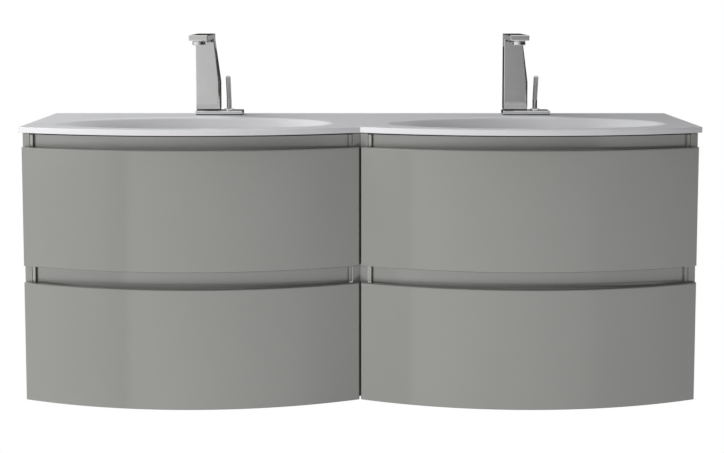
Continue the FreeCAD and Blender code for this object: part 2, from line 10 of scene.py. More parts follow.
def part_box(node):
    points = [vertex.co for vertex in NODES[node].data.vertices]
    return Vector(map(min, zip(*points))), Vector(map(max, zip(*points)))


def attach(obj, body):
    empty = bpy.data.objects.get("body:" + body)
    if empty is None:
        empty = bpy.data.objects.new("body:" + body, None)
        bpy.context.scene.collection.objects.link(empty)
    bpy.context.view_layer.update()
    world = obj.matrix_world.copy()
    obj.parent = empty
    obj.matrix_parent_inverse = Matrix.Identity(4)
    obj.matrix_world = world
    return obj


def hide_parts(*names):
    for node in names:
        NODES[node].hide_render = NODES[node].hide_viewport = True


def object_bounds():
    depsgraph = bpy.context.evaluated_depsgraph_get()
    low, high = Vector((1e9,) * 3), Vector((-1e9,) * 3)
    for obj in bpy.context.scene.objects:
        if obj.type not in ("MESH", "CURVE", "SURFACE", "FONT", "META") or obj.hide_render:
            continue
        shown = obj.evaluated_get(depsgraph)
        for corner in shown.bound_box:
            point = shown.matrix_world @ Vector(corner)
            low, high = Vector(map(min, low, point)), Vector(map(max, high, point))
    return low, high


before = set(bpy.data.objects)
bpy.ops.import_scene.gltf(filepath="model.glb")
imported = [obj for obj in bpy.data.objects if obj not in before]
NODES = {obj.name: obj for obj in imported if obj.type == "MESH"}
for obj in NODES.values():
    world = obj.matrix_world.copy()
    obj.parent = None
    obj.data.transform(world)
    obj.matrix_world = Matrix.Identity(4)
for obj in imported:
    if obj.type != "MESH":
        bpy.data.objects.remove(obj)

bl_info = {
    "name": "Double vanity",
    "version": (1, 0, 0),
    "blender": (4, 5, 0),
    "location": "3D View > Sidebar > Vanity",
    "description": "Dresses a bowed double vanity and sets it in a white studio",
    "category": "Object",
}

CAD_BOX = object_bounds()
SIDES = ("left", "right")
DRAWERS = ("left_upper", "left_lower", "right_upper", "right_lower")
UP = Vector((0, 0, 1))

# Places read from the frame
BASIN_LOW, BASIN_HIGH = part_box("basin")
BASIN_HALF = BASIN_HIGH.x
BASIN_TOP = BASIN_HIGH.z
BOWL_X = BASIN_HALF / 2
FRONT_LOW, FRONT_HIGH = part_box("right_upper_front")
UNIT_X = (FRONT_LOW.x + FRONT_HIGH.x) / 2
FRONT_HALF = FRONT_HIGH.x - UNIT_X
CARCASS_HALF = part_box("right_outer_side")[1].x - UNIT_X
INNER_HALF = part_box("right_bottom")[1].x - UNIT_X
PLATE_LOW, PLATE_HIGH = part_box("right_tap_base")
TAP_AXIS_Y = (PLATE_LOW.y + PLATE_HIGH.y) / 2
PLUG_LOW, PLUG_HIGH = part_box("right_plug")
DRAIN_Y = (PLUG_LOW.y + PLUG_HIGH.y) / 2

# Fineness of round shapes, as steps or segments
ROUND_STEPS = 64
SMALL_STEPS = 48
BOW_STEPS = 56
SLAB_STEPS = 48
BOWL_SEGMENTS = 96
LIP_RINGS = 5
INSIDE_RINGS = 24
OUTSIDE_RINGS = 12
RIM_RINGS = 4
COLLAR_RINGS = 6
BALL_RINGS = 12
BEND_STEPS = 10

# Slack when places are compared, and distances within which vertices are merged, in metres
NEAR = 1e-5
SEAM = 1e-4
MERGE = 1e-6

# Shares of a bowl's width at its floor and gained up to its lip, and the powers that curve its wall
BOWL_FLOOR = 0.34
BOWL_SPREAD = 0.61
BOWL_FALL = 0.9
BOWL_ROUND = 0.55

# Places along a plug's radius at which its dome is drawn, and an aerator insert's rings and spokes
DOME_SHARES = (0, 0.2, 0.4, 0.6, 0.8, 0.93)
INSERT_RINGS = (0.16, 0.44, 0.72, 1.0)
INSERT_LINE = 0.12
SPOKES = 6
SPOKE_REACH = 0.98

# Finishing of the meshes, and the noise values that patterns are spread over
SHARP_ANGLE = math.radians(35)
NORMAL_WEIGHT = 100
NOISE_SPAN = (0.3, 0.7)

# The camera's frame in millimetres, and in metres the cards' place behind it and half of their shading's width
SENSOR = 36.0
CARD_SET_BACK = 1.2
CARD_SPAN = 1.6


# Shader building

class Value:
    """A shader socket that can be used in Python arithmetic."""

    def __init__(self, finish, socket):
        self.finish = finish
        self.socket = socket

    def combined(self, operation, other):
        return self.finish.add("ShaderNodeMath", {"operation": operation}, {0: self, 1: other})

    def __add__(self, other):
        return self.combined("ADD", other)

    def __mul__(self, other):
        return self.combined("MULTIPLY", other)

    __radd__ = __add__
    __rmul__ = __mul__


class Finish:
    """Node tree of one material or world, built up one node at a time."""

    def __init__(self, owner):
        self.owner = owner
        owner.use_nodes = True
        self.tree = owner.node_tree

    def add(self, kind, settings=None, inputs=None, output=0):
        node = self.tree.nodes.new(kind)
        for key, value in (settings or {}).items():
            setattr(node, key, value)
        for key, value in (inputs or {}).items():
            self.join(node.inputs[key], value)
        return Value(self, node.outputs[output])

    def join(self, socket, value):
        if isinstance(value, Value):
            self.tree.links.new(value.socket, socket)
        else:
            socket.default_value = value

    def place(self):
        return self.add("ShaderNodeTexCoord", output="Object")

    def along(self, axis):
        return self.add("ShaderNodeSeparateXYZ", None, {0: self.place()}, axis)

    def noise(self, scale, detail=2.0, stretch=None):
        place = self.place()
        if stretch:
            place = self.add("ShaderNodeMapping", None, {"Vector": place, "Scale": stretch})
        return self.add("ShaderNodeTexNoise", None, {"Vector": place, "Scale": scale, "Detail": detail})

    def range(self, value, low, high, to_low, to_high):
        inputs = {"Value": value, "From Min": low, "From Max": high, "To Min": to_low, "To Max": to_high}
        return self.add("ShaderNodeMapRange", None, inputs)

    def mix(self, factor, first, second):
        return self.add("ShaderNodeMix", {"data_type": "RGBA"}, {0: factor, 6: first, 7: second}, 2)


class Surface(Finish):
    """A new Principled material, with its constant sockets set and others that follow patterns."""

    def __init__(self, name, **constants):
        super().__init__(bpy.data.materials.new(name))
        self.sockets = self.tree.nodes["Principled BSDF"].inputs
        for key, value in constants.items():
            self.sockets[key.replace("_", " ").title().replace("Ior", "IOR")].default_value = value

    def tone(self, pattern, colour, dark, light):
        shades = [[part * gain for part in colour] + [1.0] for gain in (dark, light)]
        self.join(self.sockets["Base Color"], self.mix(pattern, *shades))

    def vary(self, socket, pattern, low, high):
        self.join(self.sockets[socket], self.range(pattern, *NOISE_SPAN, low, high))

    def emboss(self, height, depth, strength):
        inputs = {"Height": height, "Distance": depth, "Strength": strength}
        self.join(self.sockets["Normal"], self.add("ShaderNodeBump", None, inputs))


def lacquer(name, colour, roughness, peel):
    """Sprayed gloss lacquer: even colour with faint clouding and a fine orange peel."""
    finish = Surface(name, coat_roughness=0.12, coat_ior=1.6, specular_ior_level=0.35)
    cloud = finish.noise(scale=4.0, detail=3.0)
    finish.tone(cloud, colour, dark=0.975, light=1.025)
    finish.vary("Roughness", cloud, low=roughness * 0.94, high=roughness * 1.06)
    finish.vary("Coat Weight", cloud, low=0.82, high=0.88)
    finish.emboss(finish.noise(scale=300.0), depth=0.0001, strength=peel)
    return finish.owner


def faced_board(name, colour):
    """Melamine faced board with a fine pressed grain along its length."""
    finish = Surface(name, specular_ior_level=0.4)
    grain = finish.noise(scale=30.0, detail=4.0, stretch=(1.0, 1.0, 9.0))
    finish.tone(grain, colour, dark=0.93, light=1.06)
    finish.vary("Roughness", grain, low=0.42, high=0.56)
    finish.emboss(grain, depth=0.0004, strength=0.15)
    return finish.owner


def gel_coat(name, colour):
    """Cast mineral marble under a white gel coat, with a trace of clouding."""
    finish = Surface(name, coat_roughness=0.15, coat_ior=1.45, specular_ior_level=0.25)
    cloud = finish.noise(scale=7.0, detail=5.0)
    finish.tone(cloud, colour, dark=0.985, light=1.01)
    finish.vary("Roughness", cloud, low=0.36, high=0.42)
    finish.vary("Coat Weight", cloud, low=0.1, high=0.16)
    finish.emboss(finish.noise(scale=35.0), depth=0.0001, strength=0.02)
    return finish.owner


def plating(name, colour, roughness):
    """Polished plating with faint polishing haze."""
    finish = Surface(name, metallic=1.0)
    haze = finish.noise(scale=45.0, detail=4.0)
    finish.tone(haze, colour, dark=0.97, light=1.02)
    finish.vary("Roughness", haze, low=roughness * 0.7, high=roughness * 1.4)
    finish.emboss(finish.noise(scale=160.0), depth=0.0001, strength=0.02)
    return finish.owner


def rolled_steel(name, colour):
    """Zinc plated strip, with drawing lines along the runner."""
    finish = Surface(name, metallic=1.0)
    lines = finish.noise(scale=260.0, detail=3.0, stretch=(1.0, 0.02, 1.0))
    finish.tone(lines, colour, dark=0.85, light=1.08)
    finish.vary("Roughness", lines, low=0.28, high=0.46)
    finish.emboss(lines, depth=0.0002, strength=0.12)
    return finish.owner


def moulded(name, colour, roughness):
    """Injection moulded plastic with a fine spark finish."""
    finish = Surface(name, specular_ior_level=0.45)
    grain = finish.noise(scale=900.0)
    finish.tone(finish.noise(scale=12.0), colour, dark=0.96, light=1.04)
    finish.vary("Roughness", grain, low=roughness * 0.85, high=roughness * 1.15)
    finish.emboss(grain, depth=0.0001, strength=0.2)
    return finish.owner


# Sizes and colours that a user would change

def length(label, text, default):
    return bpy.props.FloatProperty(name=label, description=text, default=default, min=0.0, unit="LENGTH")


def paint(label, text, default):
    return bpy.props.FloatVectorProperty(name=label, description=text, default=default, size=3,
                                         min=0.0, max=1.0, subtype="COLOR")


def level(label, text, default):
    return bpy.props.FloatProperty(name=label, description=text, default=default, min=0.0)


def power(label, text, default):
    return bpy.props.FloatProperty(name=label, description=text, default=default, min=0.0, unit="POWER")


def shift(label, text, default):
    return bpy.props.FloatProperty(name=label, description=text, default=default)


def turn(label, text, default):
    return bpy.props.FloatProperty(name=label, description=text, default=default, subtype="ANGLE")


class VanityColours(bpy.types.PropertyGroup):
    """Colours of the finishes."""
    lacquer: paint("Lacquer", "Colour of the drawer fronts", (0.25, 0.254, 0.236))
    carcass: paint("Carcass", "Colour of the side panels", (0.25, 0.254, 0.239))
    channel: paint("Channel", "Colour of the grip channels", (0.25, 0.254, 0.241))
    board: paint("Board", "Colour of the boards inside", (0.34, 0.34, 0.325))
    gel_coat: paint("Gel coat", "Colour of the basin", (0.83, 0.83, 0.85))
    chrome: paint("Chrome", "Tint of the taps and wastes", (0.72, 0.72, 0.715))
    steel: paint("Runner steel", "Tint of the drawer runners", (0.5, 0.51, 0.53))
    brass: paint("Brass", "Tint of the fittings under the basin", (0.6, 0.42, 0.17))
    guard: paint("Guard", "Colour of the moulded trap guards", (0.22, 0.225, 0.22))
    cap: paint("End cap", "Colour of the channels' end caps", (0.36, 0.37, 0.34))
    # The levers' darker chrome tint paints shade on them.
    lever: paint("Lever", "Tint of the taps' levers", (0.46, 0.46, 0.465))
    # Black of the seals, which also paints the shadow lines under the basin, the base plates and the columns;
    # the jet inserts share it.
    gasket: paint("Gasket", "Colour of the taps' seals and jet inserts", (0.03, 0.03, 0.032))


class VanityCabinet(bpy.types.PropertyGroup):
    """Sizes of the cabinet's pieces."""
    front_thickness: length("Front thickness", "Thickness of the bowed fronts", 0.016)
    front_round: length("Front rounding", "Rounding round the face of a front", 0.002)
    board_round: length("Board rounding", "Rounding of the boards' edges", 0.0008)
    carcass_clearance: length("Carcass clearance", "From a front's back to the carcass", 0.001)
    grip_depth: length("Grip depth", "From a front's back to the channel's web", 0.024)
    channel_gauge: length("Channel gauge", "Thickness of the channels' sheet", 0.002)
    channel_cove: length("Channel cove", "Radius between the web and the lips", 0.02)
    channel_lap: length("Channel lap", "How far a channel goes behind the fronts", 0.016)
    lip_clearance: length("Lip clearance", "From a channel's lip to the front's back", 0.003)
    web_lift: length("Web lift", "How much flatter a channel's web is than its lips, at its ends", 0.0165)
    cap_width: length("Cap width", "Width of a channel's end cap", 0.007)
    cap_gap: length("Cap gap", "From a side panel to an end cap", 0.0004)
    cap_stand: length("Cap stand", "How far an end cap stands in front of the web", 0.0075)
    cap_back: length("Cap back", "How far an end cap goes behind the web", 0.008)
    cap_round: length("Cap rounding", "Rounding of an end cap's edges", 0.001)
    # The seal is black foam whose black also paints the shadow line under the basin's edge.
    seal: length("Seal", "Thickness of the seal between the side panels and the basin", 0.002)
    seal_set_back: length("Seal set-back", "From the panels' faces to the seal", 0.0015)
    channel_drop: length("Channel drop", "From the basin down to the upper channel's sheet", 0.004)


class VanityBasin(bpy.types.PropertyGroup):
    """Sizes of the double basin."""
    corner_depth: length("Corner depth", "From the wall to the front corners and the notch", 0.374)
    edge_round: length("Edge rounding", "Rounding of the slab's upper edge", 0.0025)
    foot_round: length("Foot rounding", "Rounding of the slab's lower edge", 0.001)
    half_width: length("Bowl half width", "Half of a bowl's width at its lip", 0.294)
    front: length("Bowl front", "From the wall to a bowl's front", 0.414)
    widest: length("Bowl widest", "From the wall to a bowl's widest line", 0.29)
    back: length("Bowl back", "From the wall to a bowl's back", 0.107)
    depth: length("Bowl depth", "From the deck to a bowl's floor", 0.1)
    wall: length("Bowl wall", "Thickness of a bowl's wall", 0.009)
    lip: length("Lip", "Width of the soft lip round a bowl", 0.01)
    lip_drop: length("Lip drop", "Fall over the soft lip", 0.0036)
    seat_radius: length("Seat radius", "Radius of the waste's seat", 0.0324)
    seat_depth: length("Seat depth", "Depth of the waste's seat", 0.003)
    seat_fall: length("Seat fall", "Fall of the flat rings round the waste", 0.0005)
    drain_radius: length("Drain radius", "Radius of the drain hole", 0.0214)
    tap_hole: length("Tap hole", "Radius of a tap hole", 0.0175)
    plug_thickness: length("Plug thickness", "Thickness of a plug's cap", 0.006)
    plug_dome: length("Plug dome", "Rise of a plug's cap", 0.001)
    plug_stem: length("Plug stem", "Radius of a plug's stem", 0.004)
    plug_round: length("Plug rounding", "Rounding of a plug's edges", 0.0005)


class VanityTaps(bpy.types.PropertyGroup):
    """Sizes of the taps."""
    column_width: length("Column width", "Width of the column from front to back", 0.04)
    shoulder: length("Shoulder", "From the deck to where the column starts to taper", 0.074)
    top_taper: length("Taper", "How much the column's right side comes in", 0.013)
    spout_thickness: length("Spout thickness", "Thickness of the flat spout", 0.012)
    throat: length("Throat", "Radius under the spout", 0.011)
    edge_round: length("Edge rounding", "Rounding of the body's edges", 0.0016)
    side_round: length("Side rounding", "Rounding of the column's right edges", 0.005)
    plate_round: length("Plate rounding", "Rounding of the base plate's upper edge", 0.002)
    plate_corner: length("Plate corner", "Corner radius of the base plate", 0.004)
    # The foot gap is a recess filled by a black ring whose black paints the shadow line at the column's foot.
    foot_shade_gap: length("Foot gap", "Thickness of the dark seal under the column", 0.0026)
    # The gasket is black rubber whose black also paints the contact shadow line under the base plate.
    gasket: length("Gasket", "Thickness of the seal under the base plate", 0.0022)
    aerator_wall: length("Aerator wall", "Wall of an aerator's housing", 0.0033)
    collar_mouth: length("Collar mouth", "Radius of the opening in the swivel ring", 0.0076)
    collar_foot: length("Collar foot", "How much the opening narrows at the ring's foot", 0.001)
    collar_lip: length("Collar lip", "How much the opening narrows at the ring's head", 0.0006)
    collar_round: length("Collar rounding", "Rounding of the swivel ring's edges", 0.0003)
    ball_radius: length("Ball", "Radius of the lever's ball", 0.006)
    lever_radius: length("Lever radius", "Radius of the lever", 0.0053)
    lever_stub: length("Lever stub", "From the ball's middle up to the bend", 0.02239)
    lever_bend: length("Lever bend", "Radius of the lever's bend", 0.016)
    lever_reach: length("Lever reach", "From the bend to the lever's tip", 0.05177)
    lever_lean: turn("Lever lean", "How far the lever leans to the front", math.radians(22))
    tip_round: length("Tip rounding", "Rounding of the lever's tip", 0.0015)


class VanityStudio(bpy.types.PropertyGroup):
    """Camera, lamps and floor."""
    camera_distance: length("Camera distance", "From the wall to the camera", 3.3809)
    camera_height: length("Camera height", "Above the basin's seat on the carcasses", 0.2644)
    camera_tilt: turn("Camera tilt", "Downward tilt of the camera", 0.0926)
    lens: level("Lens", "Focal length in millimetres on a 36 mm frame", 73.77)
    shift_across: shift("Shift across", "Sideways lens shift", 0.0024)
    shift_up: shift("Shift up", "Upward lens shift", -0.1195)
    key_power: power("Key lamp", "Power of the key lamp", 570.0)
    key_size: length("Key size", "Side of the key lamp's soft box", 4.6)
    key_distance: length("Key distance", "From the fronts to the key lamp", 8.0)
    key_turn: turn("Key turn", "How far the key lamp stands to the left", math.radians(50))
    key_rise: turn("Key rise", "How far the key lamp stands above the fronts", math.radians(-6))
    top_power: power("Top lamp", "Power of the top lamp", 56.0)
    top_size: length("Top size", "Side of the top lamp's soft box", 1.8)
    top_distance: length("Top distance", "From the fronts to the top lamp", 3.2)
    top_turn: turn("Top turn", "How far the top lamp stands to the left", math.radians(105))
    top_rise: turn("Top rise", "How far the top lamp stands above the fronts", math.radians(53))
    ambient: level("Ambient", "Strength of the even light", 0.2)
    card_left: level("Front card, left", "Brightness of the card behind the camera at its left", 0.8)
    card_right: level("Front card, right", "Brightness of the card behind the camera at its right", 0.2)
    side_tone: level("Right card", "Brightness of the upper card at the right", 0.05)
    back_tone: level("Back card", "Brightness of the card behind the basin", 0.05)
    strip_tone: level("Back strip", "Brightness of the strip that the spouts' sides mirror", 0.3)
    low_left: level("Low card, left", "Brightness of the low card at the left", 0.8)
    low_front: level("Low card, front", "Brightness of the low card behind the camera", 1.55)
    low_right: level("Low card, right", "Brightness of the low card at the right", 1.4)
    floor_drop: length("Floor drop", "From the cabinet's foot down to the floor", 0.6)
    floor_width: length("Floor width", "Width of the floor", 3.4)
    floor_depth: length("Floor depth", "From the wall to the floor's front edge", 2.0)
    floor_veil: level("Floor veil", "How much the floor covers the white behind it", 0.45)
    floor_fade: length("Floor fade", "Over which the floor fades into the white round it", 0.6)
    floor_colour: paint("Floor", "Colour of the floor", (0.9, 0.9, 0.9))


def colours():
    return bpy.context.scene.vanity_colours


def cabinet():
    return bpy.context.scene.vanity_cabinet


def basin():
    return bpy.context.scene.vanity_basin


def taps():
    return bpy.context.scene.vanity_taps


def studio():
    return bpy.context.scene.vanity_studio


def side_sign(name):
    return -1 if name.startswith("left") else 1


def shares(steps):
    """Evenly spaced shares from 0 to 1."""
    return [count / steps for count in range(steps + 1)]


# Shared modelling steps

def made(name, bm, material, body, stands_for=()):
    """Turns a bmesh into a piece that rides on a body."""
    mesh = bpy.data.meshes.new(name)
    bm.to_mesh(mesh)
    bm.free()
    mesh.shade_smooth()
    mesh.set_sharp_from_angle(angle=SHARP_ANGLE)
    mesh.materials.append(material)
    piece = bpy.data.objects.new(name, mesh)
    bpy.context.scene.collection.objects.link(piece)
    even = piece.modifiers.new("even_normals", "WEIGHTED_NORMAL")
    even.keep_sharp = True
    even.weight = NORMAL_WEIGHT
    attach(piece, body)
    if stands_for:
        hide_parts(*stands_for)
    return piece


def dress(material, *nodes):
    """Gives frame nodes a better material."""
    for name in nodes:
        mesh = NODES[name].data
        mesh.materials.clear()
        mesh.materials.append(material)


def tidy_corners(bm, radius, segments, wanted=None, angle=30):
    """Rounds the edges that turn by more than an angle and that pass a test."""
    edges = [edge for edge in bm.edges
             if len(edge.link_faces) == 2 and edge.calc_face_angle() > math.radians(angle)
             and (wanted is None or wanted(edge))]
    bmesh.ops.bevel(bm, geom=edges, offset=radius, offset_type="OFFSET", segments=segments, profile=0.5,
                    affect="EDGES", material=-1, clamp_overlap=True)


def block(bm, low, high):
    """Box between two corners."""
    verts = bmesh.ops.create_cube(bm, size=1.0)["verts"]
    bmesh.ops.scale(bm, vec=high - low, verts=verts)
    bmesh.ops.translate(bm, vec=(low + high) / 2, verts=verts)
    return verts


def loop_edges(verts):
    """Edges that join a set of vertices to each other."""
    chosen = set(verts)
    return [edge for edge in {edge for vert in verts for edge in vert.link_edges}
            if chosen.issuperset(edge.verts)]


def skinned(bm, rings):
    """Faces between neighbouring edge loops."""
    for first, second in zip(rings, rings[1:]):
        bmesh.ops.bridge_loops(bm, edges=first + second)


def chain(bm, points, closed):
    """Vertices at some points and the edges that join them in turn."""
    verts = [bm.verts.new(point) for point in points]
    pairs = list(zip(verts, verts[1:])) + ([(verts[-1], verts[0])] if closed else [])
    return verts, [bm.edges.new(pair) for pair in pairs]


def turned(bm, centre, profile, closed=False, steps=ROUND_STEPS):
    """Turns (radius, height) corners once round the upright line through a point."""
    before = set(bm.verts)
    verts, edges = chain(bm, [centre + Vector((radius, 0, z)) for radius, z in profile], closed)
    bmesh.ops.spin(bm, geom=verts + edges, cent=centre, axis=UP, angle=2 * math.pi, steps=steps,
                   use_merge=True)
    bmesh.ops.remove_doubles(bm, verts=[vert for vert in bm.verts if vert not in before], dist=MERGE)
    bmesh.ops.recalc_face_normals(bm, faces=bm.faces)


def moved(items):
    """The vertices among a step's results."""
    return [item for item in items if isinstance(item, bmesh.types.BMVert)]


# Bowed pieces

def bow_radius():
    """Outer radius of the fronts, from their box and their thickness."""
    thickness = cabinet().front_thickness
    rise = FRONT_HIGH.y - FRONT_LOW.y
    return (FRONT_HALF ** 2 + rise ** 2 - thickness ** 2) / (2 * (rise - thickness))


def axis_y():
    """Depth at which the fronts' upright axis stands."""
    return FRONT_LOW.y + bow_radius()


def bow_y(unit_x, radius, x):
    return axis_y() - math.sqrt(radius ** 2 - (x - unit_x) ** 2)


def from_axis(unit_x, vert):
    return math.hypot(vert.co.x - unit_x, vert.co.y - axis_y())


def inner_radius():
    return bow_radius() - cabinet().front_thickness


def web_radius():
    return inner_radius() - cabinet().grip_depth


def swept(bm, unit_x, section, closed):
    """Turns a section of (radius, height) corners along a unit's bow."""
    axis = Vector((unit_x, axis_y(), 0))
    sweep = math.asin(CARCASS_HALF / min(radius for radius, _ in section))
    verts, edges = chain(bm, [(unit_x, axis.y - radius, z) for radius, z in section], closed)
    bmesh.ops.rotate(bm, cent=axis, matrix=Matrix.Rotation(-sweep, 3, "Z"), verts=verts)
    bmesh.ops.spin(bm, geom=verts + edges, cent=axis, axis=UP, angle=2 * sweep, steps=BOW_STEPS)


def flattened(bm, unit_x, full):
    """Draws a channel's web towards the fronts, more and more towards its ends."""
    lip = inner_radius() - cabinet().lip_clearance
    for vert in bm.verts:
        share = 1.0 if full else min(1.0, (lip - from_axis(unit_x, vert)) / (lip - web_radius()))
        vert.co.y -= share * web_step(unit_x, vert.co.x)


def web_step(unit_x, x):
    return cabinet().web_lift * ((x - unit_x) / INNER_HALF) ** 2


def cut_square(bm, x0, x1, fill):
    """Cuts a swept piece off at two upright planes and, where wanted, closes the ends."""
    for x, side in ((x0, -1), (x1, 1)):
        geom = bm.verts[:] + bm.edges[:] + bm.faces[:]
        bmesh.ops.bisect_plane(bm, geom=geom, plane_co=(x, 0, 0), plane_no=(side, 0, 0), clear_outer=True)
        if fill:
            rim = [edge for edge in bm.edges
                   if edge.is_boundary and all(abs(vert.co.x - x) < NEAR for vert in edge.verts)]
            bmesh.ops.edgenet_fill(bm, edges=rim)
    bmesh.ops.recalc_face_normals(bm, faces=bm.faces)


class VANITY_OT_carcasses(bpy.types.Operator):
    """Make the side panels and dress the bottoms and rails"""
    bl_idname = "vanity.carcasses"
    bl_label = "Carcasses"

    def execute(self, context):
        side_finish = lacquer("carcass_lacquer", colours().carcass, roughness=0.3, peel=0.05)
        # Black foam whose black also paints the shadow line under the basin's edge.
        rubber = moulded("seal_rubber", colours().gasket, roughness=0.7)
        for end in SIDES:
            for place in ("outer", "inner"):
                self.side_panel(end, place, side_finish)
            self.seal(end, rubber)
        board = faced_board("carcass_board", colours().board)
        dress(board, "hanging_rails", "lower_rails", "left_bottom", "right_bottom")
        return {"FINISHED"}

    def side_panel(self, end, place, finish):
        node = end + "_" + place + "_side"
        low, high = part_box(node)
        bm = bmesh.new()
        self.upright_board(bm, end, low, high - UP * cabinet().seal, 0)
        tidy_corners(bm, cabinet().board_round, segments=2)
        made(end + "_" + place + "_panel", bm, finish, "cabinet", [node])

    def upright_board(self, bm, end, low, high, set_back):
        """Box whose front edge follows the bow."""
        radius = inner_radius() - cabinet().carcass_clearance - set_back
        for vert in block(bm, low, high):
            if vert.co.y < (low.y + high.y) / 2:
                vert.co.y = bow_y(side_sign(end) * UNIT_X, radius, vert.co.x)

    def seal(self, end, finish):
        """Black foam strips on the side panels and behind the head of the upper channel; their black also
        paints the shadow line under the basin's edge.
        """
        size = cabinet()
        inset = Vector((size.seal_set_back, size.seal_set_back, 0))
        bm = bmesh.new()
        web = web_radius() - size.seal_set_back
        back = web - size.seal
        unit_x = side_sign(end) * UNIT_X
        foot = -size.channel_drop
        swept(bm, unit_x, [(back, foot), (web, foot), (web, 0), (back, 0)], closed=True)
        cut_square(bm, unit_x - INNER_HALF, unit_x + INNER_HALF, fill=True)
        flattened(bm, unit_x, full=True)
        for place in ("outer", "inner"):
            low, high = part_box(end + "_" + place + "_side")
            strip = Vector((low.x, low.y, high.z - size.seal))
            self.upright_board(bm, end, strip + inset, high - inset, size.seal_set_back)
        tidy_corners(bm, size.seal / 8, segments=1, angle=60)
        made(end + "_basin_seal", bm, finish, "cabinet")


class VANITY_OT_channels(bpy.types.Operator):
    """Make the coved grip channels and their end caps"""
    bl_idname = "vanity.channels"
    bl_label = "Grip channels"

    def execute(self, context):
        finish = lacquer("channel_lacquer", colours().channel, roughness=0.25, peel=0.04)
        for end in SIDES:
            for place in ("upper", "middle"):
                self.channel(end, place, finish)
        self.end_caps(moulded("cap_plastic", colours().cap, roughness=0.35))
        return {"FINISHED"}

    def channel(self, end, place, finish):
        """Sheet bent to a web and one or two lips, with a cove in each bend."""
        node = end + "_" + place + "_channel"
        low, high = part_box(node)
        size = cabinet()
        unit_x = side_sign(end) * UNIT_X
        gauge = size.channel_gauge
        lip = inner_radius() - size.lip_clearance
        web = web_radius()
        foot = low.z + gauge
        section = [(lip, foot), (web, foot), (web, high.z - size.channel_drop)]
        if place == "middle":
            section = section[:2] + [(web, high.z - gauge), (lip, high.z - gauge)]
        bm = bmesh.new()
        swept(bm, unit_x, section, closed=False)
        tidy_corners(bm, size.channel_cove, segments=8)
        reach = INNER_HALF - size.cap_width
        cut_square(bm, unit_x - reach, unit_x + reach, fill=False)
        flattened(bm, unit_x, full=False)
        bmesh.ops.solidify(bm, geom=bm.faces[:], thickness=gauge)
        bmesh.ops.recalc_face_normals(bm, faces=bm.faces)
        made(end + "_" + place + "_grip", bm, finish, "cabinet", [node])

    def end_caps(self, finish):
        """Blocks that close the channels' ends against the side panels."""
        size = cabinet()
        inner = web_radius() - size.cap_back
        outer = web_radius() + size.cap_stand
        gauge = size.channel_gauge
        bm = bmesh.new()
        for end in SIDES:
            unit_x = side_sign(end) * UNIT_X
            for place, top_gap in (("upper", size.channel_drop), ("middle", gauge)):
                low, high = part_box(end + "_" + place + "_channel")
                foot = low.z + gauge + size.channel_lap
                for edge in (unit_x - INNER_HALF + size.cap_gap, unit_x + INNER_HALF - size.cap_width):
                    far_edge = edge + size.cap_width - size.cap_gap
                    verts = block(bm, Vector((edge, -1, foot)), Vector((far_edge, 0, high.z - top_gap)))
                    for vert in verts:
                        radius = outer if vert.co.y < -0.5 else inner
                        vert.co.y = bow_y(unit_x, radius, vert.co.x) - web_step(unit_x, vert.co.x)
        tidy_corners(bm, size.cap_round, segments=2)
        made("grip_end_caps", bm, finish, "cabinet", ["channel_end_caps"])


class VANITY_OT_fronts(bpy.types.Operator):
    """Make the bowed drawer fronts"""
    bl_idname = "vanity.fronts"
    bl_label = "Drawer fronts"

    def execute(self, context):
        finish = lacquer("front_lacquer", colours().lacquer, roughness=0.3, peel=0.05)
        for drawer in DRAWERS:
            self.front(drawer, finish)
        return {"FINISHED"}

    def front(self, drawer, finish):
        node = drawer + "_front"
        low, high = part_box(node)
        unit_x = side_sign(drawer) * UNIT_X
        outer = bow_radius()
        inner = inner_radius()
        bm = bmesh.new()
        swept(bm, unit_x, [(inner, low.z), (outer, low.z), (outer, high.z), (inner, high.z)], closed=True)
        cut_square(bm, low.x, high.x, fill=True)
        middle = (inner + outer) / 2
        on_face = lambda edge: all(from_axis(unit_x, vert) > middle for vert in edge.verts)
        tidy_corners(bm, cabinet().front_round, segments=4, wanted=on_face, angle=50)
        tidy_corners(bm, cabinet().board_round, segments=2, wanted=lambda edge: not on_face(edge), angle=50)
        made(drawer + "_panel", bm, finish, drawer + "_drawer", [node])


class VANITY_OT_drawers(bpy.types.Operator):
    """Dress the drawer boxes and runners"""
    bl_idname = "vanity.drawers"
    bl_label = "Drawer boxes"

    def execute(self, context):
        board = faced_board("drawer_board", colours().board)
        steel = rolled_steel("runner_steel", colours().steel)
        for drawer in DRAWERS:
            dress(board, drawer + "_sides", drawer + "_back", drawer + "_bottom")
            dress(steel, drawer + "_drawer_runners", drawer + "_middle_runners")
        dress(steel, "cabinet_runners")
        guard = moulded("guard_plastic", colours().guard, roughness=0.4)
        dress(guard, "left_upper_trap_guard", "right_upper_trap_guard")
        return {"FINISHED"}


